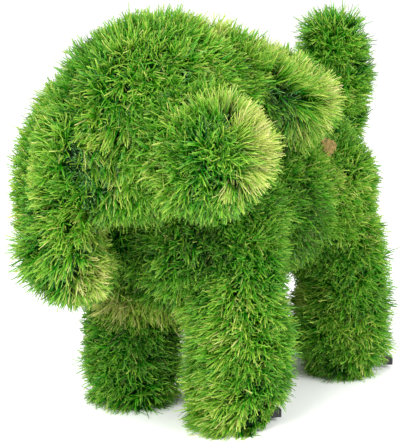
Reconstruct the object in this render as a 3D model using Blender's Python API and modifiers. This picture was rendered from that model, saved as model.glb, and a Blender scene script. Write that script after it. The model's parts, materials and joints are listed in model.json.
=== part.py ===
"""Artificial grass dog: a puppy-shaped garden figure covered all over in artificial turf.

Metres, +Z up. The dog faces -Y and its left side is +X. The origin is on the ground, in the
middle of the figure's bounding box, and the soles lie in the plane Z = 0.

The turf figure is one solid whose surface is the mean outside of the pile. Four black plastic
lugs, one at each foot, stick out of the pile just above the ground for pegs or ties.
"""

import math
import random

import bmesh
import bpy
from mathutils import Matrix, Vector, noise

# Where the middle of the four feet lies in the figure's bounding box
STANCE = Vector((-0.0160, 0.0263, 0.0))

# Feet and legs
FOOT_SPACING = 0.143  # left to right, between the feet's middles
WHEELBASE = 0.222  # front to hind, between the feet's middles
LEG_RADIUS = 0.0542  # over the pile, at the ankle
LEG_TOP = 0.190  # height at which a leg has run into the body
ANKLE = 0.024  # height of the widest place of a foot
HIND_LEAN = Vector((0.006, 0.014, 0.0))  # how far a hind leg's top leans in and forward
FRONT_LEAN = Vector((0.005, -0.004, 0.0))

# Body
BODY_HEIGHT = 0.215  # middle of the trunk above the ground
BODY_RADII = (0.106, 0.150, 0.088)
CHEST_RADII = (0.106, 0.084, 0.106)
RUMP_RADII = (0.114, 0.100, 0.092)
TAIL_ROOT = Vector((0.004, 0.158, 0.250))
TAIL_BEND = Vector((0.013, 0.201, 0.300))
TAIL_TIP = Vector((0.008, 0.191, 0.366))  # middle of the tail's round end
TAIL_RADII = {"root": 0.042, "bend": 0.052, "tip": 0.0415}

# Head, turned to the dog's left and tipped over to its right
HEAD = Vector((-0.003, -0.160, 0.336))
HEAD_TURN = math.radians(53)
HEAD_TILT = math.radians(-16)
SKULL = Vector((0.007, 0.0, -0.003))  # from HEAD, in the head's own frame
SKULL_RADII = (0.105, 0.104, 0.099)
MUZZLE = Vector((0.013, -0.112, -0.038))  # from HEAD, in the head's own frame
MUZZLE_RADII = (0.065, 0.064, 0.063)

# Turf
VOXEL = 0.0090  # grid on which the skin is made, half the distance between two tufts
SKIN_TRIANGLES = 8600
TUFT_HEIGHT = 0.0085
TUFT_FOOT = 0.3  # share of a tuft's height at the points around its tip
TUFT_DROOP = 0.6  # share of a tuft's height by which its tip hangs down
SWELL_HEIGHT = 0.0035  # slow unevenness of the pile
SWELL_SIZE = 0.045
TURF_SEED = 11

# Ground lugs
LUG_HEIGHT = 0.0088
LUG_WIDTH = 0.0108
LUG_HEAD_LENGTH = 0.0110
LUG_NECK_WIDTH = 0.0076
LUG_NECK_HEIGHT = 0.0052
LUG_NECK_LENGTH = 0.0200
LUG_LIFT = 0.0085  # middle of a lug above the ground
LUG_BEVEL = 0.0009
LUG_REACH = {"front": 0.0455, "hind": 0.0603}  # from a foot's middle to the lug's outer end
LUG_ANGLE = {"front": math.radians(48), "hind": math.radians(36)}  # from straight outwards, to the tail
GAP = 0.0003  # between a lug and the pile around it
LUG_WAY = 0.0160  # the pile is cut back this far past a lug's outer end

SIDES = {"left": 1, "right": -1}
ENDS = {"front": -1, "hind": 1}


def new_collection(name):
    collection = bpy.data.collections.new(name)
    bpy.context.scene.collection.children.link(collection)
    return collection


def new_material(name, colour, roughness):
    material = bpy.data.materials.new(name)
    material.use_nodes = True
    shader = material.node_tree.nodes["Principled BSDF"]
    shader.inputs["Base Color"].default_value = (*colour, 1.0)
    shader.inputs["Roughness"].default_value = roughness
    shader.inputs["Metallic"].default_value = 0.0
    material.diffuse_color = (*colour, 1.0)
    return material


def new_object(name, mesh, collection, material=None):
    obj = bpy.data.objects.new(name, mesh)
    collection.objects.link(obj)
    if material:
        mesh.materials.append(material)
    return obj


def evaluated_mesh(obj):
    """The object's mesh with its modifiers applied, as a mesh of its own."""
    graph = bpy.context.evaluated_depsgraph_get()
    return bpy.data.meshes.new_from_object(obj.evaluated_get(graph))


def foot_middle(end, side):
    return Vector((SIDES[side] * FOOT_SPACING / 2, ENDS[end] * WHEELBASE / 2, 0.0))


# The masses of the dog: closed balls that overlap, gathered in one bmesh


def add_ball(bm, middle, radii, turn=None):
    turn = (turn or Matrix()).to_4x4()
    place = Matrix.Translation(middle) @ turn @ Matrix.Diagonal((*radii, 1.0))
    bmesh.ops.create_uvsphere(bm, u_segments=28, v_segments=18, radius=1.0, matrix=place)


def between(start, middle, end, share):
    """A point, or a set of radii, on the quadratic curve of three."""
    rest = 1 - share
    return [
        rest * rest * a + 2 * rest * share * b + share * share * c
        for a, b, c in zip(start, middle, end)
    ]


def add_limb(bm, places, radii, turn=None, count=9):
    """Balls strung along a curve, close enough to read as one limb."""
    for step in range(count):
        share = step / (count - 1)
        place = Vector(between(*places, share))
        add_ball(bm, place, between(*radii, share), turn)


def add_leg(bm, end, side):
    foot = foot_middle(end, side)
    lean = FRONT_LEAN if end == "front" else HIND_LEAN
    lean = Vector((-SIDES[side] * lean.x, -lean.y, 0.0))
    ankle = foot + Vector((0, 0, ANKLE))
    knee = foot + Vector((0, 0, LEG_TOP / 2))
    top = foot + lean + Vector((0, 0, LEG_TOP))
    thick = [LEG_RADIUS] * 3
    slim = [LEG_RADIUS - 0.003] * 3
    add_limb(bm, (ankle, knee, top), (thick, thick, slim))


def add_trunk(bm):
    add_ball(bm, (0, 0.020, BODY_HEIGHT), BODY_RADII)
    add_ball(bm, (0, -0.095, BODY_HEIGHT - 0.008), CHEST_RADII)
    add_ball(bm, (0, 0.092, BODY_HEIGHT), RUMP_RADII)
    neck = Vector((0, -0.110, BODY_HEIGHT + 0.055))
    add_ball(bm, neck, (0.088, 0.080, 0.080))


def add_tail(bm):
    radii = [[radius] * 3 for radius in TAIL_RADII.values()]
    add_limb(bm, (TAIL_ROOT, TAIL_BEND, TAIL_TIP), radii, count=11)


def head_frame():
    """From the head's own frame, with the face to -Y and the left ear to +X, to the dog's."""
    turn = Matrix.Rotation(HEAD_TURN, 4, "Z") @ Matrix.Rotation(HEAD_TILT, 4, "Y")
    return Matrix.Translation(HEAD) @ turn


def add_head(bm):
    frame = head_frame()
    turn = frame.to_3x3()
    add_ball(bm, frame @ SKULL, SKULL_RADII, turn)
    for side in SIDES.values():
        cheek = frame @ Vector((side * 0.046, -0.040, -0.048))
        add_ball(bm, cheek, (0.054, 0.048, 0.052), turn)
    for share in (0.5, 0.75, 1.0):
        add_ball(bm, frame @ (MUZZLE * share), MUZZLE_RADII, turn)


def add_ears(bm):
    """Thick flaps. The right ear hangs free; the left one lies back on the shoulder."""
    frame = head_frame()
    turn = frame.to_3x3()
    right = ((-0.064, 0.002, 0.015), (-0.147, 0.012, -0.021), (-0.123, 0.006, -0.134))
    left = ((0.062, 0.004, 0.026), (0.147, 0.008, -0.026), (0.160, 0.034, -0.056))
    root = (0.040, 0.066, 0.044)
    swell = (0.044, 0.074, 0.046)
    tip = (0.042, 0.060, 0.044)
    for places, lift in ((right, 0.0), (left, -0.35)):
        flap = turn @ Matrix.Rotation(lift, 3, "Y")
        points = [frame @ Vector(place) for place in places]
        add_limb(bm, points, (root, swell, tip), flap, count=11)


def dog_masses():
    bm = bmesh.new()
    add_trunk(bm)
    for end in ENDS:
        for side in SIDES:
            add_leg(bm, end, side)
    add_tail(bm)
    add_head(bm)
    add_ears(bm)
    mesh = bpy.data.meshes.new("dog_masses")
    bm.to_mesh(mesh)
    bm.free()
    return mesh


def one_skin(masses, guides):
    """Melts the balls into one closed skin on an even grid, and softens its creases."""
    obj = new_object("dog_masses", masses, guides)
    remesh = obj.modifiers.new("skin", "REMESH")
    remesh.mode = "VOXEL"
    remesh.voxel_size = VOXEL
    smooth = obj.modifiers.new("soften", "SMOOTH")
    smooth.factor = 0.5
    smooth.iterations = 3
    skin = evaluated_mesh(obj)
    bpy.data.objects.remove(obj)
    return skin


def neighbours(vert):
    return {edge.other_vert(vert) for edge in vert.link_edges}


def raise_tufts(mesh):
    """Lifts points that stand apart into drooping tufts, on top of a slow swell of the pile."""
    rng = random.Random(TURF_SEED)
    bm = bmesh.new()
    bm.from_mesh(mesh)
    bm.normal_update()
    taken = set()
    lifts = {}
    for vert in bm.verts:
        if vert in taken:
            continue
        ring = neighbours(vert)
        taken |= ring | {vert}
        for other in ring:
            taken |= neighbours(other)
        lifts[vert] = TUFT_HEIGHT * rng.uniform(0.65, 1.0)
        for other in ring:
            lifts[other] = max(lifts.get(other, 0.0), TUFT_FOOT * lifts[vert])
    moves = {}
    for vert in bm.verts:
        out = vert.normal
        down_the_side = Vector((0, 0, -1)) - out * -out.z
        lift = lifts.get(vert, 0.0)
        swell = noise.noise(vert.co / SWELL_SIZE) * SWELL_HEIGHT
        moves[vert] = out * (swell + lift) + down_the_side * TUFT_DROOP * lift
    for vert, move in moves.items():
        vert.co += move
    bm.to_mesh(mesh)
    bm.free()


def thin_out(mesh, guides):
    """Drops points that the tufts can do without, down to the wanted number of triangles."""
    obj = new_object("dog_skin", mesh, guides)
    triangulate = obj.modifiers.new("triangles", "TRIANGULATE")
    triangulate.quad_method = "BEAUTY"
    thin = obj.modifiers.new("thin out", "DECIMATE")
    thin.ratio = SKIN_TRIANGLES / (2 * len(mesh.polygons))
    thinned = evaluated_mesh(obj)
    bpy.data.objects.remove(obj)
    return thinned


def stand_on_soles(mesh):
    """Cuts the feet off flat at the ground and closes each sole."""
    bm = bmesh.new()
    bm.from_mesh(mesh)
    everything = bm.verts[:] + bm.edges[:] + bm.faces[:]
    bmesh.ops.bisect_plane(
        bm, geom=everything, plane_co=(0, 0, 0), plane_no=(0, 0, 1), clear_inner=True
    )
    open_edges = [edge for edge in bm.edges if edge.is_boundary]
    bmesh.ops.holes_fill(bm, edges=open_edges)
    bmesh.ops.triangulate(bm, faces=bm.faces[:])
    bmesh.ops.recalc_face_normals(bm, faces=bm.faces[:])
    bm.to_mesh(mesh)
    bm.free()


def grass_dog(figure, guides, material):
    skin = one_skin(dog_masses(), guides)
    raise_tufts(skin)
    skin = thin_out(skin, guides)
    stand_on_soles(skin)
    skin.materials.clear()
    dog = new_object("grass_dog", skin, figure, material)
    skin.shade_smooth()
    return dog


# Ground lugs


def add_block(bm, start, length, width, height):
    """A block along +X from start, with its middle on the X axis; gives its outer end face."""
    place = Matrix.Translation((start + length / 2, 0, 0))
    size = Matrix.Diagonal((length, width, height, 1.0))
    bmesh.ops.create_cube(bm, size=1.0, matrix=place @ size)
    return max(bm.faces, key=lambda face: face.calc_center_median().x)


def move_face(bm, face, step=0.0, scale=(1.0, 1.0, 1.0)):
    """Extrudes a face, moves the new one along X and scales it about the X axis."""
    made = bmesh.ops.extrude_discrete_faces(bm, faces=[face])["faces"][0]
    for vert in made.verts:
        vert.co = Vector((vert.co.x + step, vert.co.y * scale[1], vert.co.z * scale[2]))
    return made


def lug_mesh(reach):
    """A slim neck with a thicker head at its outer end, along +X."""
    bm = bmesh.new()
    start = reach - LUG_HEAD_LENGTH - LUG_NECK_LENGTH
    end_face = add_block(bm, start, LUG_NECK_LENGTH, LUG_NECK_WIDTH, LUG_NECK_HEIGHT)
    wider = (1.0, LUG_WIDTH / LUG_NECK_WIDTH, LUG_HEIGHT / LUG_NECK_HEIGHT)
    end_face = move_face(bm, end_face, scale=wider)
    move_face(bm, end_face, step=LUG_HEAD_LENGTH)
    mesh = bpy.data.meshes.new("ground_lug")
    bm.to_mesh(mesh)
    bm.free()
    return mesh


def pocket_mesh(reach):
    """The room that a lug needs: the gap on every side, and a clear way to its outer end."""
    bm = bmesh.new()
    length = LUG_HEAD_LENGTH + LUG_NECK_LENGTH + GAP + LUG_WAY
    start = reach + LUG_WAY - length
    add_block(bm, start, length, LUG_WIDTH + 2 * GAP, LUG_HEIGHT + 2 * GAP)
    mesh = bpy.data.meshes.new("lug_pocket")
    bm.to_mesh(mesh)
    bm.free()
    return mesh


def place_at_foot(obj, end, side):
    """Turns a lug to point outwards and back from its foot, just above the ground."""
    angle = LUG_ANGLE[end]
    outward = math.atan2(math.sin(angle), SIDES[side] * math.cos(angle))
    obj.rotation_euler.z = outward
    obj.location = foot_middle(end, side) + Vector((0, 0, LUG_LIFT))


def ground_lug(end, side, figure, material):
    mesh = lug_mesh(LUG_REACH[end])
    lug = new_object(f"ground_lug_{end}_{side}", mesh, figure, material)
    bevel = lug.modifiers.new("moulded edges", "BEVEL")
    bevel.width = LUG_BEVEL
    bevel.segments = 2
    bevel.limit_method = "ANGLE"
    place_at_foot(lug, end, side)
    mesh.shade_smooth()
    mesh.set_sharp_from_angle(angle=math.radians(40))


def cut_lug_pocket(dog, end, side, guides):
    name = f"lug_pocket_{end}_{side}"
    cutter = new_object(name, pocket_mesh(LUG_REACH[end]), guides)
    cutter.hide_render = True
    cutter.display_type = "WIRE"
    place_at_foot(cutter, end, side)
    pocket = dog.modifiers.new(name, "BOOLEAN")
    pocket.operation = "DIFFERENCE"
    pocket.object = cutter


def build():
    for obj in list(bpy.data.objects):
        bpy.data.objects.remove(obj)
    figure = new_collection("artificial_grass_dog")
    guides = new_collection("guides_and_cutters")
    turf = new_material("artificial turf", (0.105, 0.265, 0.030), 0.62)
    plastic = new_material("black moulded plastic", (0.018, 0.018, 0.020), 0.42)

    stance = bpy.data.objects.new("stance", None)
    figure.objects.link(stance)
    stance.location = STANCE
    dog = grass_dog(figure, guides, turf)
    dog.parent = stance
    for end in ENDS:
        for side in SIDES:
            ground_lug(end, side, figure, plastic)
            cut_lug_pocket(dog, end, side, guides)
    for obj in list(figure.objects) + list(guides.objects):
        if obj is not stance:
            obj.parent = stance


build()
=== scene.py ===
"""The looks of the artificial grass dog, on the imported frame.

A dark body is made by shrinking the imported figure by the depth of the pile. Tufts of flat ribbon blades are
stitched into it, as real geometry, and combed away from the seams where the panels of turf meet.
"""

import json
import math

import bpy
import numpy as np
from mathutils import Matrix, Vector
from mathutils.bvhtree import BVHTree


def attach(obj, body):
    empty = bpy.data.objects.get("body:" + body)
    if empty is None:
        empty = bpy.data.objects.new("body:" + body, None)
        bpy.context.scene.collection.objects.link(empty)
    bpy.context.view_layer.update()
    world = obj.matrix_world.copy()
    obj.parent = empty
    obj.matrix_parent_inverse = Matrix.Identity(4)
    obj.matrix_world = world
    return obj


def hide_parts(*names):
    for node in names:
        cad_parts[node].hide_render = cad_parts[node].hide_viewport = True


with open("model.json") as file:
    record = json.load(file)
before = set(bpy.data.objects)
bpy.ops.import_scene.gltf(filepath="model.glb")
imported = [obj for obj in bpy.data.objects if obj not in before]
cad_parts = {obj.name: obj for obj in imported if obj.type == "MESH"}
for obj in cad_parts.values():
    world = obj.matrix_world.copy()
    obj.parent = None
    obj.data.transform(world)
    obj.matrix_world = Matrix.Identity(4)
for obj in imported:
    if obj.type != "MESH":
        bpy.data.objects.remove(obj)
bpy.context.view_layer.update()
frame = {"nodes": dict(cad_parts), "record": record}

UP = np.array([0.0, 0.0, 1.0])
FORWARD = np.array([0.0, -1.0, 0.0])
VIEW_TURN = math.radians(33.8)  # the camera's turn about the dog, from straight ahead of it to its left
VIEW_PITCH = math.radians(13.4)  # the camera looks down by this much
CAMERA_RIGHT = np.array([math.cos(VIEW_TURN), math.sin(VIEW_TURN), 0.0])
TO_CAMERA = np.array([math.sin(VIEW_TURN), -math.cos(VIEW_TURN), 0.0])

# Places on the dog, in metres. Those of the body are measured from the middle of its four feet, and those of the
# head from the middle of the skull, with the face to -Y and the left ear to +X.
mounts = {mount["name"]: mount for mount in frame["record"]["mounts"]}
soles = [mount["pos_m"] for name, mount in mounts.items() if name.startswith("sole_")]
FEET = Matrix.Translation(np.mean(soles, axis=0).tolist())
HEAD = FEET @ Matrix.Translation((-0.003, -0.160, 0.336))
HEAD @= Matrix.Rotation(math.radians(53), 4, "Z") @ Matrix.Rotation(math.radians(-16), 4, "Y")


def on_head(*places):
    return np.array([HEAD @ Vector(place) for place in places])


def on_body(*places):
    return np.array([FEET @ Vector(place) for place in places])


# Each part of the dog: the line through its middle, and its thickness about it
LEGS = {
    "leg_front_left": (0.0715, -0.111),
    "leg_front_right": (-0.0715, -0.111),
    "leg_hind_left": (0.0715, 0.111),
    "leg_hind_right": (-0.0715, 0.111),
}
MUZZLE = on_head((0.007, -0.060, -0.020), (0.013, -0.112, -0.038))
PARTS = {
    "head": (on_head((0.0, 0.0, 0.0)), 0.103),
    "muzzle": (MUZZLE, 0.064),
    "ear_right": (on_head((-0.100, 0.005, 0.000), (-0.134, 0.011, -0.040), (-0.130, 0.008, -0.135)), 0.048),
    "ear_left": (on_head((0.095, 0.008, 0.008), (0.135, 0.012, -0.008), (0.160, 0.034, -0.056)), 0.048),
    "chest": (on_body((0.0, -0.104, 0.215)), 0.100),
    "barrel": (on_body((0.0, -0.030, 0.215)), 0.100),
    "rump": (on_body((0.0, 0.072, 0.218), (0.0, 0.104, 0.215)), 0.102),
    "tail": (on_body((0.011, 0.182, 0.290), (0.014, 0.198, 0.325), (0.010, 0.191, 0.395)), 0.045),
}
PARTS |= {name: (on_body((x, y, 0.0), (x, y, 0.130)), 0.052) for name, (x, y) in LEGS.items()}

# The backing
INSET = 0.0195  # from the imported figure's mean surface in to the backing
FORM_VOXEL, BACKING_VOXEL = 0.0060, 0.0065  # the grids that the form is remeshed on, before and after shrinking
SMOOTHINGS = 10
SHRINK_STEPS, SETTLING_STEPS = 14, 4  # the last steps keep the full depth, and only smooth
SHRINK_STRIDE = 0.004  # the most that a step moves a point
SOLE_RISE = 0.024  # a foot's sides stand upright below this height
SOLE_DROP = 0.050  # how far a foot is drawn down for that, before it is cut off at the ground
FOOT_RADIUS = 0.037  # of the backing, at most, below the foot's height
FOOT_HEIGHT = 0.050
FLOOR_GAP = 0.0006  # nothing of the turf lies lower than this

# The pile
PILE = 0.0280  # length of a blade
PILE_RANGE = (0.85, 1.35)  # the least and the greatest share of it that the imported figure's depth gives
SHORTEST = 0.3
TUFT_SPACING = 0.0052
PLACES_TRIED = 4.5  # random places in each square of that side
TUFT_ROOM = 0.010  # no tuft grows where another part of the dog is closer than this
LEAST_HEIGHT, SOLE_HEIGHT = 0.003, 0.020  # none grows below the first, nor below the second on a sole
BLADES_IN_TUFT = 24
BLADE_WIDTH = 0.00145
TINTS = 64  # columns in the tint map, from deep green to straw

PATCH = on_body((0.081, 0.055, 0.273))[0]  # a bare patch on the left flank, below the ear
PATCH_SIZE = (0.017, 0.021)
PATCH_RISE = 0.0012
PATCH_TILT = np.array([0.45, -0.75, 0.1])  # it faces out of the flank and a little forwards

TINY = 1e-9  # keeps a division off zero


def unit(rows):
    return rows / np.maximum(np.linalg.norm(rows, axis=-1, keepdims=True), TINY)


def clamped(values):
    """The values, held between 0 and 1."""
    return np.clip(values, 0, 1)


def dot(a, b):
    return (a * b).sum(-1, keepdims=True)


def waves(points, wavelength, channels, rng, count=24):
    """Smooth noise of about unit size: waves in random directions, laid over each other."""
    ways = unit(rng.normal(size=(count, 3)))
    rates = 2 * math.pi / wavelength * rng.uniform(0.6, 1.5, count)
    along = (points @ ways.T) * rates
    phases = rng.uniform(0, 2 * math.pi, (channels, count))
    return np.stack([np.cos(along + phase).sum(1) for phase in phases], 1) / math.sqrt(count / 2)


def nearest_on_path(points, path):
    """The nearest place to each point on a line of straight steps, and the distance to it."""
    best = np.repeat(path[:1], len(points), 0)
    least = np.linalg.norm(points - best, axis=1)
    for start, end in zip(path[:-1], path[1:]):
        step = end - start
        along = clamped((points - start) @ step / (step @ step))
        place = start + along[:, None] * step
        distance = np.linalg.norm(points - place, axis=1)
        nearer = distance < least
        best[nearer] = place[nearer]
        least[nearer] = distance[nearer]
    return best, least


# Backing


def evaluated_arrays(obj):
    """Points and quads of the object's mesh, modifiers included."""
    mesh = obj.evaluated_get(bpy.context.evaluated_depsgraph_get()).to_mesh()
    points = np.empty(len(mesh.vertices) * 3)
    mesh.vertices.foreach_get("co", points)
    corners = np.empty(len(mesh.loops), int)
    mesh.loops.foreach_get("vertex_index", corners)
    return points.reshape(-1, 3), corners.reshape(-1, 4)


def gather(values, index, size):
    return np.stack([np.bincount(index, column, size) for column in values.T], 1)


def point_normals(points, quads):
    a, b, c, d = (points[quads[:, k]] for k in range(4))
    faces = np.cross(c - a, d - b)
    return unit(gather(np.repeat(faces, 4, 0), quads.ravel(), len(points)))


def relaxed(points, quads, amount):
    """Each point moved towards the mean of its neighbours."""
    starts, ends = quads.ravel(), np.roll(quads, -1, 1).ravel()
    count = np.bincount(starts, minlength=len(points)) + np.bincount(ends, minlength=len(points))
    total = gather(points[ends], starts, len(points)) + gather(points[starts], ends, len(points))
    return points + amount * (total / count[:, None] - points)


def new_piece(name, mesh, slot, *nodes):
    obj = bpy.data.objects.new(name, mesh)
    bpy.context.scene.collection.objects.link(obj)
    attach(obj, "root")
    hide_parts(*nodes)
    return obj


def remeshed(mesh, voxel):
    """The mesh's form on an even grid of quads."""
    obj = bpy.data.objects.new("form", mesh)
    bpy.context.scene.collection.objects.link(obj)
    remesh = obj.modifiers.new("grid", "REMESH")
    remesh.mode = "VOXEL"
    remesh.voxel_size = voxel
    arrays = evaluated_arrays(obj)
    bpy.data.objects.remove(obj)
    return arrays


def quad_mesh(name, points, quads):
    mesh = bpy.data.meshes.new(name)
    mesh.from_pydata(points.tolist(), [], quads.tolist())
    mesh.update()
    mesh.shade_smooth()
    return mesh


def depths(skin, points):
    """How far each point is from the skin."""
    return np.array([skin.find_nearest(Vector(point))[3] for point in points])


def shrunk_body():
    """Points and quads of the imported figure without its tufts, one pile depth smaller, standing on flat soles."""
    points, quads = remeshed(frame["nodes"]["grass_dog"].data.copy(), FORM_VOXEL)
    for _ in range(SMOOTHINGS):
        points = relaxed(points, quads, amount=0.5)
    low = clamped(1 - points[:, 2] / SOLE_RISE)
    points[:, 2] -= SOLE_DROP * low**2
    skin = BVHTree.FromPolygons(points.tolist(), quads.tolist())
    for step in range(SHRINK_STEPS):
        wanted = INSET * min(1, (step + 1) / (SHRINK_STEPS - SETTLING_STEPS))
        move = np.clip(wanted - depths(skin, points), -SHRINK_STRIDE, SHRINK_STRIDE)
        points = points - point_normals(points, quads) * move[:, None]
        points = relaxed(points, quads, amount=0.3)
    for sole in soles:
        flat = points[:, :2] - sole[:2]
        far = np.linalg.norm(flat, axis=1)[:, None]
        wide = (far[:, 0] > FOOT_RADIUS) & (far[:, 0] < 2 * FOOT_RADIUS) & (points[:, 2] < FOOT_HEIGHT)
        points[wide, :2] = (np.array(sole[:2]) + flat * FOOT_RADIUS / np.maximum(far, TINY))[wide]
    points[:, 2] = np.maximum(points[:, 2], FLOOR_GAP)
    return remeshed(quad_mesh("form", points, quads), BACKING_VOXEL)


# Stitching

# The seams between panels of turf, as they lie on top of the pile: between the head and the right ear, down the left
# ear, where its blades fan out, and on the muzzle, where they stand out to its rim
EAR_SEAM = on_head(
    (-0.087, -0.045, 0.028), (-0.102, -0.054, 0.002), (-0.104, -0.061, -0.017), (-0.104, -0.065, -0.047),
    (-0.101, -0.058, -0.073), (-0.109, -0.050, -0.100), (-0.127, -0.056, -0.105), (-0.142, -0.055, -0.112),
    (-0.154, -0.039, -0.125),
)
FAN_SEAM = on_head(
    (0.092, -0.055, 0.018), (0.104, -0.056, 0.004), (0.117, -0.058, -0.014), (0.126, -0.054, -0.034),
    (0.130, -0.040, -0.054),
)
RIM_SEAM = on_head((0.022, -0.158, 0.006), (0.022, -0.165, -0.006), (0.020, -0.170, -0.016))
CHEST_HEM = on_body((-0.060, -0.150, 0.129), (-0.040, -0.150, 0.126), (-0.017, -0.135, 0.118))

EAR_LEVEL, EAR_RISE = 0.235, 0.070  # the right ear's blades lie level here, and turn up above it and down below it
EAR_WAY = HEAD.to_3x3() @ Vector((-1, 0, 0))  # from the seam to the outer side of the right ear
RIM_WAY = HEAD.to_3x3() @ Vector((0.9, 0.0, -0.2))
LEG_WAY = -0.35 * UP - CAMERA_RIGHT
SHIN_WAY = -0.30 * UP - CAMERA_RIGHT
SHIN_FACE = -0.7 * CAMERA_RIGHT + 0.7 * np.array([0.56, -0.83, 0.0])  # where the front left leg's blades part

# Single places: the middle of the crown's whorl, a thin patch beside the muzzle, and where the tint changes: painted
# light on the left temple, and painted shadow below the muzzle at the chin
BROW = on_head((-0.042, -0.040, 0.052))
CHEEK = on_head((-0.078, -0.074, -0.010))
LEFT_TEMPLE = on_head((0.080, 0.000, 0.070))
CHIN = on_head((-0.010, -0.120, -0.090))

# Small gaps in the pile, where the backing shows through
POCKETS = on_head(
    (-0.040, -0.015, 0.064), (-0.041, -0.035, 0.057), (-0.043, -0.046, 0.046), (0.022, -0.080, 0.027),
    (0.011, -0.086, 0.023), (-0.005, -0.083, 0.024), (-0.069, -0.018, 0.034), (-0.076, -0.038, 0.009),
    (-0.085, -0.021, 0.014), (-0.099, -0.035, -0.011), (-0.079, -0.048, -0.021), (-0.078, -0.053, -0.037),
    (-0.035, -0.083, -0.010), (-0.029, -0.114, -0.024), (-0.022, -0.090, 0.007), (-0.012, -0.145, -0.045),
    (0.108, -0.037, -0.007), (0.119, -0.034, -0.020), (0.154, 0.005, -0.069),
)

# Where the pile is longer or shorter: a place, its reach, and the share of a blade's length added there
SWELLS = (
    (on_head((-0.072, 0.020, 0.068)), 0.050, 0.36),
    (on_head((-0.062, 0.026, 0.058)), 0.030, 0.20),
    (on_head((-0.125, 0.005, 0.020), (-0.150, -0.005, -0.055)), 0.048, -0.74),
    (on_head((-0.155, -0.004, -0.090), (-0.154, -0.004, -0.118)), 0.034, 0.44),
    (on_head((-0.122, -0.015, -0.150)), 0.042, -0.60),
    (on_head((0.060, 0.020, 0.085)), 0.060, 0.08),
    (on_head((0.095, 0.010, 0.058)), 0.040, 0.40),
    (on_head((0.132, 0.020, 0.020)), 0.045, -0.75),
    (on_head((0.030, -0.125, -0.082), (0.030, -0.060, -0.100)), 0.048, -0.42),
    (on_body((0.040, 0.196, 0.285)), 0.045, -0.12),
    (on_body((-0.095, -0.140, 0.110)), 0.036, -0.25),
    (on_body((0.113, -0.083, 0.152)), 0.034, -0.50),
)


def tuft_places(points, quads, spacing, rng):
    """Places spread over the backing, no two closer than the spacing, with the normal at each."""
    normals = point_normals(points, quads)
    a, b, c, d = (points[quads[:, k]] for k in range(4))
    areas = np.linalg.norm(np.cross(c - a, d - b), axis=1) / 2
    wanted = int(PLACES_TRIED * areas.sum() / spacing**2)
    chosen = rng.choice(len(quads), wanted, p=areas / areas.sum())
    u, v = rng.random((2, wanted, 1))
    weights = [(1 - u) * (1 - v), u * (1 - v), u * v, (1 - u) * v]
    places = sum(w * points[quads[chosen, k]] for k, w in enumerate(weights))
    outward = unit(sum(w * normals[quads[chosen, k]] for k, w in enumerate(weights)))
    kept, cells = [], {}
    for index, place in enumerate(places.tolist()):
        cell = tuple(int(x // spacing) for x in place)
        others = (
            other
            for i in (-1, 0, 1)
            for j in (-1, 0, 1)
            for k in (-1, 0, 1)
            for other in cells.get((cell[0] + i, cell[1] + j, cell[2] + k), ())
        )
        if all(math.dist(place, other) > spacing for other in others):
            cells.setdefault(cell, []).append(place)
            kept.append(index)
    return places[kept], outward[kept]


def in_the_open(places, outward):
    """Whether each place has room for its blades, and is off the ground and the soles."""
    lift = 0.002  # where the look outwards starts from, so that it doesn't meet the backing that it leaves
    clear = [
        backing_tree.ray_cast(Vector(place) + Vector(out) * lift, Vector(out), TUFT_ROOM)[0] is None
        for place, out in zip(places, outward)
    ]
    on_sole = (places[:, 2] <= SOLE_HEIGHT) & (outward[:, 2] <= -0.5)
    return np.array(clear) & (places[:, 2] > LEAST_HEIGHT) & ~on_sole


class Tufts:
    """The stitched tufts: where each is, which part of the dog it is on, and how its blades lie."""

    def __init__(self, places, outward):
        self.places = places
        self.outward = outward
        self.lean = np.zeros_like(places)
        self.curl = np.zeros(len(places))
        self.tint = np.zeros(len(places))
        self.length = np.clip(pile_depth(places) / INSET, *PILE_RANGE)
        self.width = np.ones(len(places))
        self.blades = np.ones(len(places))
        scores = [nearest_on_path(places, path)[1] - radius for path, radius in PARTS.values()]
        self.part = np.argmin(scores, axis=0)

    def on(self, *parts):
        return np.isin(self.part, [list(PARTS).index(part) for part in parts])

    def comb(self, where, way, amount):
        """Leans the chosen tufts along the surface, in the given way."""
        way = np.broadcast_to(way, self.places.shape)
        flat = way - self.outward * dot(way, self.outward)
        self.lean += unit(flat) * (np.asarray(where) * amount)[:, None]

    def part_from(self, path, reach, amount, where=1.0, start=0.010):
        """Leans the blades beside a seam away from it, and returns how close each tuft is to it, from 0 to 1."""
        nearest, distance = nearest_on_path(self.places, path)
        close = clamped(1 - distance / reach) * where
        self.comb(close > 0, self.places - nearest, amount * close**0.5 * clamped(distance / start))
        return close


def sunk(path):
    """The path's places moved to the backing below them."""
    return np.array([backing_tree.find_nearest(Vector(place))[0] for place in path])


def pile_depth(places):
    """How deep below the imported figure's surface each place lies."""
    mesh = frame["nodes"]["grass_dog"].data
    skin = BVHTree.FromPolygons([vert.co for vert in mesh.vertices], [face.vertices for face in mesh.polygons])
    return depths(skin, places)


def near(tufts, path, reach):
    """How close each tuft is to a path, from 0 at the reach to 1."""
    return clamped(1 - nearest_on_path(tufts.places, path)[1] / reach)


def side_of(tufts, path, way):
    """Which tufts lie on the given side of a path."""
    nearest = nearest_on_path(tufts.places, path)[0]
    return (dot(tufts.places - nearest, np.asarray(way, float)) > 0)[:, 0]


# Combing

# How far the blades lean along the surface, against a rise of 1 away from it
LEAN = {
    "all": 0.12, "legs": 0.12, "left legs": 0.20, "shin": 0.50, "head": 0.75, "muzzle": 0.35, "tail": 0.36,
    "tail shoulder": 0.24, "tail top": 0.20, "whorl": 1.35, "ear": 0.95, "inner ear": 1.0, "cheek": 1.0, "fan": 1.1,
    "under ear": 0.5, "hem": 0.9, "ground": 0.8, "lug": 1.6, "over lug": 0.95,
}
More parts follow.
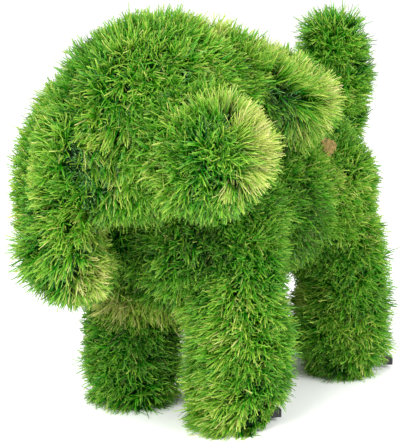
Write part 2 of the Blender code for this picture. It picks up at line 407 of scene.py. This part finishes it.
# How far that reaches from a seam or a place
REACH = {
    "whorl": 0.046, "ear": 0.090, "inner ear": 0.050, "cheek": 0.050, "fan": 0.050, "under ear": 0.045,
    "hem": 0.026, "lug": 0.026,
}
CROWN_WHORL, MUZZLE_RIM = 0.025, 0.035  # the radii at which the crown's and the muzzle's blades lean the most
CALF, SHANK = (0.098, 0.034), (0.058, 0.028)  # where a leg is thicker: a height, and the reach above and below it
# The share of a blade's length that is added at most where the blades are combed out
ADDED_LENGTH = {"combed": 0.12, "hem": 0.32, "cheek": 0.12}
FINER, CHEEK_WIDER = 0.30, 0.15  # shares of a blade's width: off where it is combed out, on at the cheek
FINE_BLADES, CHEEK_THINNER = 0.40, 0.55  # shares of a tuft's blades: on where they are fine, off at the cheek
ADDED_BLADES = {"rim": (0.034, 0.90), "fan": (0.022, 1.0)}  # how far from a seam, and the share added at most
BLADES_UNDERNEATH = 0.75
# Gaps in the pile: how far from a seam or a pocket they reach, and how likely they are in its middle
GAPS = {"ear": (0.010, 0.80), "rim": (0.006, 0.6), "fan": (0.006, 0.6), "pocket": (0.0125, 1.5)}
CHEEK_GAPS = 0.6
THINNED = 0.15  # the share of a tuft's blades that is left in a gap
BARE_REACH = 0.013  # of the bare patch
# Each part's tint; the chest and the front right leg are painted a little darker, for the shade below the head
BASE_TINT = {
    "head": 0.43, "muzzle": 0.42, "ear_right": 0.47, "ear_left": 0.43, "chest": 0.32, "barrel": 0.35,
    "rump": 0.38, "tail": 0.37, "leg_front_left": 0.37, "leg_front_right": 0.35, "leg_hind_left": 0.40,
    "leg_hind_right": 0.38,
}
# Tints added in places: the temple, the tail top and part of the fringe carry painted light, the under ear and the
# chin painted shade
ADDED_TINT = {
    "fringe": 0.48, "shin": 0.12, "cheek": 0.07, "hem": 0.55, "inner ear": 0.15, "temple": 0.26, "tail top": 0.10,
    "under ear": -0.34, "chin": -0.12,
}
# Unevenness of the pile: how long its waves are, and how strong they are for each part and in all
WAVELENGTH = {"lie": 0.024, "tint": 0.060, "length": 0.045, "gaps": 0.014}
MESS = {"head": 0.42, "muzzle": 0.42, "tail": 0.42, "ear_right": 0.42}
LEAST_MESS, MESS_OF_A_TUFT = 0.30, 0.32
UNEVEN_TINT, UNEVEN_LENGTH = 0.07, 0.06
CURL, COMBED_CURL = 0.80, 0.30  # of blades that stand free, and of those that are combed out from a seam
COMBED = {"whorl": 1.0, "ear": 0.25, "fan": 1.0, "shin": 0.3, "hem": 0.2}
CURL_KEPT = {"head": 0.85, "tail": 0.7}
GROUND_HEIGHT = 0.020  # the blades splay out below it
LUG_LENGTH = 0.020
LUG_SHELTER = np.array([0.033, -0.010, 0.022])  # a place beside a front foot's sole, on its outer side
LUG_GAP, BLADES_IN_LUG_GAP = 0.010, 0.4  # fewer blades grow this close to a lug
OVER_LUG = 0.020  # blades this close to a lug or its shelter are combed forwards and trimmed
LUG_TRIMS = ((OVER_LUG, 0.56), (0.014, 0.28))  # within each distance, no blade is longer than this


def height_band(tufts, height, reach):
    """1 at about a height, and falling to 0 above and below it."""
    return clamped(1.2 - abs(tufts.places[:, 2] - height) / reach)


def comb_down(tufts):
    tufts.comb(np.ones(len(tufts.places)), -UP, LEAN["all"])
    tufts.comb(tufts.on(*LEGS), LEG_WAY, LEAN["legs"])
    tufts.comb(tufts.on("leg_front_left", "leg_hind_left"), LEG_WAY, LEAN["left legs"])


def set_lengths(tufts):
    """Longer or shorter blades, so that their tips end at the outline of the figure."""
    rightward = tufts.outward @ CAMERA_RIGHT  # 1 where the pile faces to the camera's right, -1 to its left
    top = clamped(tufts.outward[:, 2])
    foot = clamped(1.6 - tufts.places[:, 2] / 0.025)
    calf = 0.08 + 0.16 * height_band(tufts, *CALF) - 0.25 * foot
    shank = 0.75 * height_band(tufts, *SHANK)
    added = {
        "leg_front_left": 0.03 - 0.12 * rightward + calf * np.maximum(rightward, 0),
        "leg_front_right": 0.08 + 0.13 * rightward,
        "leg_hind_left": 0.17 * rightward + shank * np.maximum(-rightward, 0),
        "rump": -0.12 * rightward,
        "tail": 0.22 * abs(rightward) * top - 0.07 * rightward,
    }
    for part, amount in added.items():
        tufts.length += tufts.on(part) * amount
    for path, reach, change in SWELLS:
        tufts.length += change * near(tufts, path, reach)
    tufts.length = np.maximum(tufts.length, SHORTEST)


def comb_parts(tufts):
    """The lie of the pile on the shin, the crown, the tail and the muzzle, and how far each tuft is on the shin."""
    shin = clamped(dot(tufts.outward, SHIN_FACE) * 1.3)[:, 0] * tufts.on("leg_front_left")
    tufts.comb(shin > 0, SHIN_WAY, LEAN["shin"] * shin)

    from_brow = tufts.places - sunk(BROW)[0]
    tufts.comb(tufts.on("head"), from_brow, LEAN["head"] * clamped(np.linalg.norm(from_brow, axis=1) / CROWN_WHORL))

    tail, top = tufts.on("tail"), clamped(tufts.outward[:, 2])
    tip = PARTS["tail"][0][-1]
    shoulder = 4 * top * (1 - top) * tail
    tufts.comb(tail, UP, LEAN["tail"] * (1 - top) + LEAN["tail shoulder"] * shoulder)
    tufts.comb(tail, (tufts.places - tip) * [1, 1, 0], LEAN["tail top"] * top)
    tufts.length += 0.16 * shoulder

    axis = unit(MUZZLE[1] - MUZZLE[0])
    from_axis = tufts.places - MUZZLE[1]
    from_axis -= axis * dot(from_axis, axis)
    rim = clamped(np.linalg.norm(from_axis, axis=1) / MUZZLE_RIM)
    tufts.comb(tufts.on("muzzle"), from_axis, LEAN["muzzle"] * rim**2)
    return {"shin": shin}


def comb_seams(tufts):
    """Parts the pile at its seams, and returns how far each tuft belongs to each of them, from 0 to 1."""
    ear_seam, fan_seam, rim_seam = map(sunk, (EAR_SEAM, FAN_SEAM, RIM_SEAM))
    rim = tufts.on("muzzle") & side_of(tufts, rim_seam, RIM_WAY)
    whorl = tufts.part_from(rim_seam, REACH["whorl"], LEAN["whorl"], rim, 0.011)

    outer = side_of(tufts, ear_seam, EAR_WAY)
    ear = near(tufts, ear_seam, REACH["ear"]) * tufts.on("ear_right", "head") * outer
    rise = np.clip((tufts.places[:, 2:] - EAR_LEVEL) / EAR_RISE, -1.0, 1.3)
    ear_lean = LEAN["ear"] * clamped(4 * ear) * np.clip(10 - 9 * ear, 0.3, 1)  # less in the seam itself
    tufts.comb(ear > 0, rise * UP - CAMERA_RIGHT, ear_lean)
    inner_ear = near(tufts, ear_seam, REACH["inner ear"]) * tufts.on("ear_right") * ~outer
    tufts.comb(inner_ear > 0, CAMERA_RIGHT - 0.5 * UP, LEAN["inner ear"] * clamped(3 * inner_ear))

    cheek = clamped(2 * near(tufts, CHEEK, REACH["cheek"])) * tufts.on("head", "muzzle")
    tufts.comb(cheek > 0, -UP, LEAN["cheek"] * cheek)

    rear = side_of(tufts, fan_seam, CAMERA_RIGHT)
    fan = tufts.part_from(fan_seam, REACH["fan"], LEAN["fan"], tufts.on("ear_left") & rear, 0.012)
    under_ear = tufts.on("ear_left") & ~rear
    tufts.part_from(fan_seam, REACH["under ear"], LEAN["under ear"], under_ear)

    hem = clamped(2 * near(tufts, CHEST_HEM, REACH["hem"]))
    tufts.comb(hem > 0, -UP, LEAN["hem"] * hem)
    return {
        "whorl": whorl, "ear": ear, "inner ear": inner_ear, "cheek": cheek, "fan": fan, "under ear": under_ear,
        "hem": hem,
    }


def ruffle(tufts, zones, rng):
    """Unevenness in the lie, and the curl of the blades."""
    mess = np.array([MESS.get(part, LEAST_MESS) for part in PARTS])[tufts.part]
    tufts.lean += mess[:, None] * waves(tufts.places, WAVELENGTH["lie"], 3, rng)
    tufts.lean += MESS_OF_A_TUFT * rng.normal(size=tufts.lean.shape)
    combed = np.max([weight * zones[zone] for zone, weight in COMBED.items()], axis=0)
    tufts.curl = CURL - (CURL - COMBED_CURL) * clamped(2.5 * combed)
    for part, kept in CURL_KEPT.items():
        tufts.curl[tufts.on(part)] *= kept


def comb_feet(tufts):
    """Splays the blades at the ground, and clears the lugs."""
    low = clamped(1 - tufts.places[:, 2] / GROUND_HEIGHT)
    tufts.comb(low > 0, tufts.outward * [1, 1, 0] - 0.6 * UP, LEAN["ground"] * low)
    tufts.length += 0.70 * low * clamped(tufts.outward @ TO_CAMERA)
    for name, mount in mounts.items():
        if name.startswith("lug_end"):
            end, axis = np.array(mount["pos_m"]), np.array(mount["axis"])
            lug = np.array([end, end - LUG_LENGTH * axis])
            tufts.part_from(lug, REACH["lug"], LEAN["lug"], start=0.002)
            sole = np.array(mounts[name.replace("lug_end", "sole")]["pos_m"])
            shelter = sole + LUG_SHELTER * [np.sign(axis[0]), 1, 1]
            over = nearest_on_path(tufts.places, np.array([lug[1], shelter]) if "front" in name else lug)[1]
            for distance, longest in LUG_TRIMS:
                tufts.length[over < distance] = np.minimum(tufts.length, longest)[over < distance]
            tufts.blades[over < OVER_LUG] += 0.5
            tufts.comb(over < OVER_LUG, FORWARD, LEAN["over lug"])
            tufts.blades[nearest_on_path(tufts.places, lug)[1] < LUG_GAP] = BLADES_IN_LUG_GAP


def set_tint(tufts, zones, rng):
    """The tint of the blades, from 0 for deep green to 1 for straw, with painted light and shade in places."""
    whorl, fan = zones["whorl"], zones["fan"]
    # Paler blades at the rims of the muzzle's whorl and of the left ear's upper fan: partly their own paler tint,
    # partly painted light on the lit rims
    fringe = 0.72 * clamped(3 * whorl) * clamped(1.8 - 1.6 * whorl)
    upper_fan = clamped(1 + 20 * (tufts.places[:, 2] - sunk(FAN_SEAM)[2, 2] + 0.018))
    fringe += upper_fan * clamped(5 * fan) * clamped(1.6 - 1.8 * fan)
    where = {
        "fringe": fringe,
        "shin": zones["shin"],
        "cheek": zones["cheek"],
        "hem": zones["hem"],
        "inner ear": clamped(3 * zones["inner ear"]),
        # painted light on the lit left side of the crown
        "temple": near(tufts, LEFT_TEMPLE, 0.075),
        # painted light on the top of the tail
        "tail top": clamped(tufts.outward[:, 2]) * tufts.on("tail"),
        # painted shade on the underside of the left ear
        "under ear": zones["under ear"] * clamped(1.5 * tufts.outward @ TO_CAMERA),
        # painted shadow of the muzzle, on the chin and the chest below it
        "chin": near(tufts, CHIN, 0.060),
    }
    tufts.tint = np.array([BASE_TINT[part] for part in PARTS])[tufts.part]
    tufts.tint += sum(ADDED_TINT[zone] * amount for zone, amount in where.items())
    tufts.tint += UNEVEN_TINT * waves(tufts.places, WAVELENGTH["tint"], 1, rng)[:, 0]


def thin_and_thicken(tufts, zones, rng):
    """Finer, longer and more blades where they are combed out, and gaps beside the seams."""
    whorl, fan, cheek = zones["whorl"], zones["fan"], zones["cheek"]
    combed = clamped(2 * np.max([whorl, zones["ear"], fan], axis=0))
    tufts.length *= 1 + UNEVEN_LENGTH * waves(tufts.places, WAVELENGTH["length"], 1, rng)[:, 0]
    tufts.length += (
        ADDED_LENGTH["combed"] * combed + ADDED_LENGTH["hem"] * zones["hem"] + ADDED_LENGTH["cheek"] * cheek
    )
    tufts.length[tufts.on("head")] *= 0.94
    fine = clamped(3 * np.maximum(whorl, fan))
    tufts.width += CHEEK_WIDER * cheek - FINER * fine
    seams = {"ear": sunk(EAR_SEAM), "rim": sunk(RIM_SEAM), "fan": sunk(FAN_SEAM)}
    more = FINE_BLADES * fine
    for seam, (reach, added) in ADDED_BLADES.items():
        more += added * near(tufts, seams[seam], reach)
    tufts.blades += more
    tufts.blades -= CHEEK_THINNER * cheek
    tufts.blades[tufts.outward[:, 2] < -0.6] *= BLADES_UNDERNEATH

    speckle = waves(tufts.places, WAVELENGTH["gaps"], 1, rng)[:, 0]
    gaps = CHEEK_GAPS * cheek
    for seam, path in seams.items():
        reach, likely = GAPS[seam]
        gaps += likely * near(tufts, path, reach)
    reach, likely = GAPS["pocket"]
    for pocket in sunk(POCKETS):
        gaps += likely * near(tufts, pocket[None], reach)
    tufts.blades[speckle < 2.1 * gaps - 1.8] *= THINNED
    tufts.blades[near(tufts, sunk(PATCH[None]), BARE_REACH) > 0.2] = 0.0


def comb_turf(tufts, rng):
    """The lie, the curl, the length and the tint of the pile, part by part."""
    comb_down(tufts)
    set_lengths(tufts)
    zones = comb_parts(tufts) | comb_seams(tufts)
    ruffle(tufts, zones, rng)
    comb_feet(tufts)
    set_tint(tufts, zones, rng)
    thin_and_thicken(tufts, zones, rng)


# Blades


FOLD = 0.45  # share of a blade's length that stands, before its end bends over
# A blade's three cross-sections, from its root: how far up each is, its width, and its share of the blade's twist
SECTIONS = ((0.0, 0.85, 1.0), (FOLD, 1.0, 0.0), (1.0, 0.62, -1.0))
MAP_EDGE = 0.12  # a blade's sides keep this far in from the sides of its column of the map
STRAIGHT_BEND = 0.02  # keeps the bend of a straight blade off zero
ROOT_SPREAD, ROOT_DEPTH = 0.0009, 0.0012  # how far the roots are from their tuft's place, and how deep
TUFT_SPLAY = 0.12  # how far the blades at the outside of a tuft lean out of it
SPLAY, CURLED_SPLAY = 0.10, 0.16  # how far blades lean at random, and how much more where they curl
LEAN_TAKEN, LEAN_IN_BEND = 0.75, 0.35  # the shares of its tuft's lean that a blade takes below its fold, and in it
SAG = 0.10
KINK = 1.1  # how far curled blades bend at random at the fold
BLADE_LENGTHS, BLADE_WIDTHS = (0.68, 1.08), (0.7, 1.15)
LONG_BLADES, LONG = 0.03, 1.2  # the share of the blades that are longer, and how much
TWIST = 0.35
TINT_SPREAD = 0.17


def blade_mesh(name, root, way, bend, length, width, twist, tint):
    """One mesh of ribbon blades. Each is two quads, with its tint in U and its height in V."""
    count = len(root)
    side = unit(np.cross(way, bend + STRAIGHT_BEND * UP))
    fold = root + (FOLD * length)[:, None] * way
    end = fold + ((1 - FOLD) * length)[:, None] * unit(way + bend)
    points = np.empty((count, 6, 3))
    for k, (middle, (_, breadth, turned)) in enumerate(zip((root, fold, end), SECTIONS)):
        turn = turned * twist
        across = np.cos(turn)[:, None] * side + np.sin(turn)[:, None] * np.cross(way, side)
        half = (width * breadth / 2)[:, None]
        points[:, 2 * k] = middle - across * half
        points[:, 2 * k + 1] = middle + across * half
    points[:, :, 2] = np.maximum(points[:, :, 2], FLOOR_GAP)
    local = np.array([0, 1, 3, 2, 2, 3, 5, 4])
    corners = ((np.arange(count) * 6)[:, None] + local).ravel()
    mesh = bpy.data.meshes.new(name)
    mesh.vertices.add(count * 6)
    mesh.vertices.foreach_set("co", points.ravel())
    mesh.loops.add(len(corners))
    mesh.loops.foreach_set("vertex_index", corners)
    mesh.polygons.add(count * 2)
    mesh.polygons.foreach_set("loop_start", np.arange(0, len(corners), 4))
    column = np.floor(np.clip(tint, 0, 0.9999) * TINTS)
    across_map = (column[:, None] + np.where(local % 2, 1 - MAP_EDGE, MAP_EDGE)) / TINTS
    up_map = np.broadcast_to(np.repeat([height for height, _, _ in SECTIONS], 2)[local], (count, 8))
    layer = mesh.uv_layers.new(name="OFBake")
    layer.data.foreach_set("uv", np.stack([across_map, up_map], 2).ravel().astype(np.float32))
    mesh.update(calc_edges=True)
    mesh.validate()
    mesh.shade_smooth()
    return mesh


def blades_of(tufts, chosen, rng):
    """The blades of the chosen tufts, as the columns that blade_mesh takes."""
    index = np.flatnonzero(chosen)
    owner = np.repeat(index, np.floor(tufts.blades[index] * BLADES_IN_TUFT + rng.random(len(index))).astype(int))
    count = len(owner)
    out = tufts.outward[owner]
    lean = tufts.lean[owner]
    curl = tufts.curl[owner][:, None]
    scatter = rng.normal(size=(count, 3))
    scatter -= out * dot(scatter, out)
    root = tufts.places[owner] + scatter * ROOT_SPREAD - out * ROOT_DEPTH
    splay = rng.normal(size=(count, 3)) * (SPLAY + CURLED_SPLAY * curl)
    way = unit(out + LEAN_TAKEN * lean + TUFT_SPLAY * scatter + splay)
    bend = LEAN_IN_BEND * lean - SAG * UP + KINK * curl * rng.normal(size=(count, 3))
    length = PILE * tufts.length[owner] * rng.uniform(*BLADE_LENGTHS, count)
    length *= np.where(rng.random(count) < LONG_BLADES, LONG, 1.0)
    width = BLADE_WIDTH * tufts.width[owner] * rng.uniform(*BLADE_WIDTHS, count)
    twist = rng.normal(size=count) * TWIST
    tint = tufts.tint[owner] + TINT_SPREAD * rng.normal(size=count)
    return root, way, bend, length, width, twist, tint


THREADS = 6  # at a tuft beside a seam
THREAD_WIDTH, THREAD_STEP, THREAD_STEPS = 0.00050, 0.0030, 5
THREAD_REACH = 0.011  # from a seam or a gap
THREAD_HEIGHTS = (0.004, 0.016)  # above the backing
THREAD_SPREAD = 0.002
THREAD_CRIMP = 0.7
FLATNESS = 0.75  # how nearly the threads start out along the surface, from 0 to 1


def thatch_mesh(tufts, rng):
    """Fine crimped threads lying between the blades along the seams and in the gaps of the pile."""
    paths = [EAR_SEAM, RIM_SEAM, FAN_SEAM] + [place[None] for place in POCKETS]
    close = np.max([near(tufts, sunk(path), THREAD_REACH) for path in paths], axis=0)
    owner = np.repeat(np.flatnonzero(close > 0), THREADS)
    owner = owner[rng.random(len(owner)) < close[owner] ** 0.5]
    count = len(owner)
    out = tufts.outward[owner]
    way = rng.normal(size=(count, 3))
    way = unit(way - FLATNESS * out * dot(way, out))
    place = tufts.places[owner] + out * rng.uniform(*THREAD_HEIGHTS, (count, 1))
    place = place + THREAD_SPREAD * rng.normal(size=(count, 3))
    points = np.empty((count, 2 * THREAD_STEPS, 3))
    for step in range(THREAD_STEPS):
        half = THREAD_WIDTH / 2 * unit(np.cross(way, rng.normal(size=(count, 3))))
        points[:, 2 * step] = place - half
        points[:, 2 * step + 1] = place + half
        way = unit(way + THREAD_CRIMP * rng.normal(size=(count, 3)))
        place = place + way * THREAD_STEP
    quads = np.concatenate([np.array([0, 1, 3, 2]) + 2 * step for step in range(THREAD_STEPS - 1)])
    faces = ((np.arange(count) * 2 * THREAD_STEPS)[:, None] + quads).reshape(-1, 4)
    mesh = bpy.data.meshes.new("turf_thatch")
    mesh.from_pydata(points.reshape(-1, 3).tolist(), [], faces.tolist())
    mesh.shade_smooth()
    return mesh


def patch_mesh():
    """A scrap of jute backing left bare on the flank: a thin, ragged, slightly domed disk."""
    out = unit(np.array(backing_tree.find_nearest(Vector(PATCH))[1]) + PATCH_TILT)
    across = unit(np.cross(UP, out))
    up = np.cross(out, across)
    rings, spokes = 6, 28
    points, faces = [PATCH + out * PATCH_RISE], []
    for ring in range(1, rings + 1):
        far = ring / rings
        for spoke in range(spokes):
            turn = 2 * math.pi * spoke / spokes
            ragged = 1 + 0.16 * far * math.sin(3 * turn + 1.0) + 0.14 * far**3 * math.sin(11 * turn)
            x, y = PATCH_SIZE[0] / 2 * math.cos(turn), PATCH_SIZE[1] / 2 * math.sin(turn)
            points.append(PATCH + far * ragged * (x * across + y * up) + out * PATCH_RISE * (1 - far**2))
    for spoke in range(spokes):
        following = (spoke + 1) % spokes
        faces.append((0, 1 + spoke, 1 + following))
        for ring in range(rings - 1):
            start = 1 + ring * spokes
            faces.append((start + spoke, start + spokes + spoke, start + spokes + following, start + following))
    mesh = bpy.data.meshes.new("bare_patch")
    mesh.from_pydata([tuple(point) for point in points], [], faces)
    mesh.shade_smooth()
    return mesh


# Materials


def colour(red, green, blue):
    """A colour given as it is seen on a screen, from 0 to 255."""
    shares = (channel / 255 for channel in (red, green, blue))
    return (*[((s + 0.055) / 1.055) ** 2.4 if s > 0.04045 else s / 12.92 for s in shares], 1.0)


class Nodes:
    """Short ways to add the nodes of a material."""

    def __init__(self, name):
        self.material = bpy.data.materials.new(name)
        self.material.use_nodes = True
        self.tree = self.material.node_tree
        self.shader = self.tree.nodes["Principled BSDF"]

    def add(self, kind, settings=None, **inputs):
        node = self.tree.nodes.new(kind)
        for key, value in (settings or {}).items():
            setattr(node, key, value)
        for key, value in inputs.items():
            socket = node.inputs[int(key[1:])] if key[1:].isdigit() else node.inputs[key.replace("_", " ")]
            self.put(socket, value)
        return node

    def put(self, socket, value):
        if isinstance(value, bpy.types.NodeSocket):
            self.tree.links.new(value, socket)
        else:
            socket.default_value = value

    def ramp(self, value, *stops):
        """A colour ramp; each stop is a place and a colour or a grey."""
        node = self.add("ShaderNodeValToRGB", i0=value)
        elements = node.color_ramp.elements
        while len(elements) < len(stops):
            elements.new(0.5)
        for element, (place, tone) in zip(elements, stops):
            element.position = place
            element.color = tone if isinstance(tone, tuple) else (tone, tone, tone, 1.0)
        return node.outputs["Color"]

    def mix(self, share, a, b, way="MIX"):
        node = self.add("ShaderNodeMix", {"data_type": "RGBA", "blend_type": way})
        for place, value in zip((0, 6, 7), (share, a, b)):
            self.put(node.inputs[place], value)
        return node.outputs[2]

    def maths(self, operation, a, b=0.0):
        return self.add("ShaderNodeMath", {"operation": operation}, i0=a, i1=b).outputs[0]

    def bump(self, height, strength, distance):
        node = self.add("ShaderNodeBump", Strength=strength, Distance=distance, Height=height)
        self.put(self.shader.inputs["Normal"], node.outputs["Normal"])


# The colours of the blades, from deep green to straw
TINT_STOPS = (
    (0.00, colour(4, 62, 28)),
    (0.20, colour(10, 127, 14)),
    (0.40, colour(44, 170, 13)),
    (0.58, colour(120, 186, 34)),
    (0.74, colour(176, 203, 82)),
    (0.88, colour(220, 224, 134)),
    (1.00, colour(228, 216, 160)),
)
# Pale yellow-green blade ends: partly the blades' own paler tips, partly painted glow of light through them
PALE_TIPS_AND_GLOW = colour(214, 220, 112)
# Painted shade in the depth of the pile: how dark a blade is painted towards its root, as a height up the blade, and
# its share of the red, green and blue
PAINTED_PILE_SHADE = (
    (0.0, (0.035, 0.085, 0.030, 1.0)),
    (0.35, (0.27, 0.38, 0.20, 1.0)),
    (0.7, (0.86, 0.90, 0.80, 1.0)),
    (1.0, (1.0, 1.0, 1.0, 1.0)),
)


def grass_material():
    """Ribbon blades: the tint runs across the map, and the height up the blade runs up it."""
    nodes = Nodes("artificial grass")
    place = nodes.add("ShaderNodeSeparateXYZ", i0=nodes.add("ShaderNodeUVMap", {"uv_map": "OFBake"}).outputs[0])
    tint, height = place.outputs["X"], place.outputs["Y"]
    base = nodes.ramp(tint, *TINT_STOPS)
    # Paler towards the tips, most on pale blades: partly their own colour, partly painted glow of light through the
    # blade ends
    at_tips = nodes.ramp(height, (0.60, 0.0), (1.0, 0.40))
    on_pale_blades = nodes.ramp(tint, (0.2, 0.50), (0.6, 1.0))
    with_pale_tips_and_glow = nodes.mix(nodes.maths("MULTIPLY", at_tips, on_pale_blades), base, PALE_TIPS_AND_GLOW)
    # painted shade: each blade darkened towards its root, where the pile is deep
    with_painted_shade = nodes.mix(1.0, with_pale_tips_and_glow, nodes.ramp(height, *PAINTED_PILE_SHADE), "MULTIPLY")
    nodes.put(nodes.shader.inputs["Base Color"], with_painted_shade)
    nodes.shader.inputs["Roughness"].default_value = 0.30
    nodes.shader.inputs["Specular IOR Level"].default_value = 0.27
    rib = nodes.maths("PINGPONG", nodes.maths("MULTIPLY", tint, float(TINTS)), 0.5)
    nodes.bump(rib, 0.5, 0.0004)
    glow = nodes.add("ShaderNodeBsdfTranslucent", Color=with_painted_shade)
    both = nodes.add("ShaderNodeMixShader", i0=0.35, i1=nodes.shader.outputs[0], i2=glow.outputs[0])
    nodes.put(nodes.tree.nodes["Material Output"].inputs["Surface"], both.outputs[0])
    return nodes.material


def backing_material():
    """The woven backing between the tufts: dark green cloth."""
    nodes = Nodes("turf backing")
    place = nodes.add("ShaderNodeTexCoord").outputs["Object"]
    weave = nodes.add("ShaderNodeTexNoise", Vector=place, Scale=420.0, Detail=3.0).outputs["Fac"]
    patch = nodes.add("ShaderNodeTexNoise", Vector=place, Scale=30.0, Detail=2.0).outputs["Fac"]
    dark = nodes.mix(patch, colour(4, 20, 8), colour(8, 40, 16))
    nodes.put(nodes.shader.inputs["Base Color"], nodes.mix(weave, dark, colour(14, 48, 16)))
    nodes.shader.inputs["Roughness"].default_value = 0.8
    nodes.shader.inputs["Specular IOR Level"].default_value = 0.15
    nodes.bump(weave, 0.6, 0.0008)
    return nodes.material


def thatch_material():
    """Pale blue-green threads."""
    nodes = Nodes("thatch")
    place = nodes.add("ShaderNodeTexCoord").outputs["Object"]
    patch = nodes.add("ShaderNodeTexNoise", Vector=place, Scale=160.0, Detail=2.0).outputs["Fac"]
    tone = nodes.ramp(patch, (0.30, colour(34, 100, 34)), (0.70, colour(122, 180, 92)))
    nodes.put(nodes.shader.inputs["Base Color"], tone)
    nodes.shader.inputs["Roughness"].default_value = 0.4
    return nodes.material


def patch_material():
    """Tan jute, woven, mottled with darker tan."""
    nodes = Nodes("jute")
    place = nodes.add("ShaderNodeTexCoord").outputs["Object"]
    noise = nodes.add("ShaderNodeTexNoise", Vector=place, Scale=330.0, Detail=4.0).outputs["Fac"]
    warp = nodes.add("ShaderNodeTexWave", {"bands_direction": "X"}, Vector=place, Scale=260.0, Distortion=3.0)
    weft = nodes.add("ShaderNodeTexWave", {"bands_direction": "Z"}, Vector=place, Scale=260.0, Distortion=3.0)
    weave = nodes.maths("MULTIPLY", warp.outputs["Fac"], weft.outputs["Fac"])
    tan = nodes.mix(nodes.ramp(noise, (0.35, 0.0), (0.65, 1.0)), colour(70, 66, 20), colour(162, 136, 76))
    nodes.put(nodes.shader.inputs["Base Color"], nodes.mix(weave, tan, colour(150, 126, 64)))
    nodes.shader.inputs["Roughness"].default_value = 0.85
    nodes.bump(weave, 0.6, 0.0006)
    return nodes.material


def plastic_material():
    """Black moulded plastic with a fine grain, dulled and scuffed."""
    nodes = Nodes("black moulded plastic")
    place = nodes.add("ShaderNodeTexCoord").outputs["Object"]
    grain = nodes.add("ShaderNodeTexNoise", Vector=place, Scale=900.0, Detail=2.0).outputs["Fac"]
    scuff = nodes.add("ShaderNodeTexNoise", Vector=place, Scale=130.0, Detail=5.0).outputs["Fac"]
    worn = nodes.ramp(scuff, (0.48, 0.0), (0.70, 1.0))
    nodes.put(nodes.shader.inputs["Base Color"], nodes.mix(worn, colour(24, 24, 27), colour(66, 66, 68)))
    nodes.put(nodes.shader.inputs["Roughness"], nodes.ramp(scuff, (0.35, 0.38), (0.70, 0.62)))
    nodes.bump(grain, 0.25, 0.0003)
    return nodes.material


def stage_material(name, tone, roughness):
    nodes = Nodes(name)
    nodes.shader.inputs["Base Color"].default_value = tone
    nodes.shader.inputs["Roughness"].default_value = roughness
    return nodes.material


# The dog

body_points, body_quads = shrunk_body()
body = new_piece("turf_backing", quad_mesh("turf_backing", body_points, body_quads), "turf", "grass_dog")
body.data.materials.append(backing_material())

rng = np.random.default_rng(11)
places, outward = tuft_places(body_points, body_quads, TUFT_SPACING, rng)
backing_tree = BVHTree.FromPolygons(body_points.tolist(), body_quads.tolist())
growing = in_the_open(places, outward)
tufts = Tufts(places[growing], outward[growing])
comb_turf(tufts, rng)

grass = grass_material()
for part in PARTS:
    columns = blades_of(tufts, tufts.on(part), rng)
    turf = new_piece("turf_" + part, blade_mesh("turf_" + part, *columns), "turf", "grass_dog")
    turf.data.materials.append(grass)

thatch = new_piece("turf_thatch", thatch_mesh(tufts, rng), "turf", "grass_dog")
thatch.data.materials.append(thatch_material())
patch = new_piece("bare_patch", patch_mesh(), "turf", "grass_dog")
patch.data.materials.append(patch_material())

plastic = plastic_material()
for name, node in frame["nodes"].items():
    if name.startswith("ground_lug"):
        node.data.materials.clear()
        node.data.materials.append(plastic)

# Stage, light and camera


def area_light(name, place, aim, size, power):
    light = bpy.data.lights.new(name, "AREA")
    light.shape = "DISK"
    light.size = size
    light.energy = power
    obj = bpy.data.objects.new(name, light)
    obj.location = place
    obj.rotation_euler = (Vector(aim) - Vector(place)).to_track_quat("-Z", "Y").to_euler()
    bpy.context.scene.collection.objects.link(obj)


FLOOR = 9  # half a side
floor_corners = [(-FLOOR, -FLOOR, 0), (FLOOR, -FLOOR, 0), (FLOOR, FLOOR, 0), (-FLOOR, FLOOR, 0)]
floor_mesh = bpy.data.meshes.new("floor")
floor_mesh.from_pydata(floor_corners, [], [(0, 1, 2, 3)])
floor = bpy.data.objects.new("floor", floor_mesh)
bpy.context.scene.collection.objects.link(floor)
floor_mesh.materials.append(stage_material("pale floor", (0.96, 0.96, 0.96, 1.0), 0.9))

world = bpy.context.scene.world or bpy.data.worlds.new("studio")
bpy.context.scene.world = world
world.use_nodes = True
world.node_tree.nodes["Background"].inputs["Color"].default_value = (1.0, 1.0, 1.0, 1.0)
world.node_tree.nodes["Background"].inputs["Strength"].default_value = 1.08

middle = (0.0, 0.0, 0.22)
area_light("key", place=(0.1, -1.9, 1.6), aim=middle, size=1.2, power=50)
area_light("fill", place=(2.0, 0.1, 1.3), aim=middle, size=1.2, power=36)

camera_data = bpy.data.cameras.new("camera")
camera_data.sensor_fit = "HORIZONTAL"
camera_data.sensor_width = 36.0
camera_data.lens = 144.0
camera = bpy.data.objects.new("camera", camera_data)
camera.location = FEET @ Vector((0.928, -1.465, 0.599))
camera.rotation_euler = (math.radians(90) - VIEW_PITCH, 0.0, VIEW_TURN)
bpy.context.scene.collection.objects.link(camera)
bpy.context.scene.camera = camera
bpy.context.scene.view_settings.view_transform = "Standard"
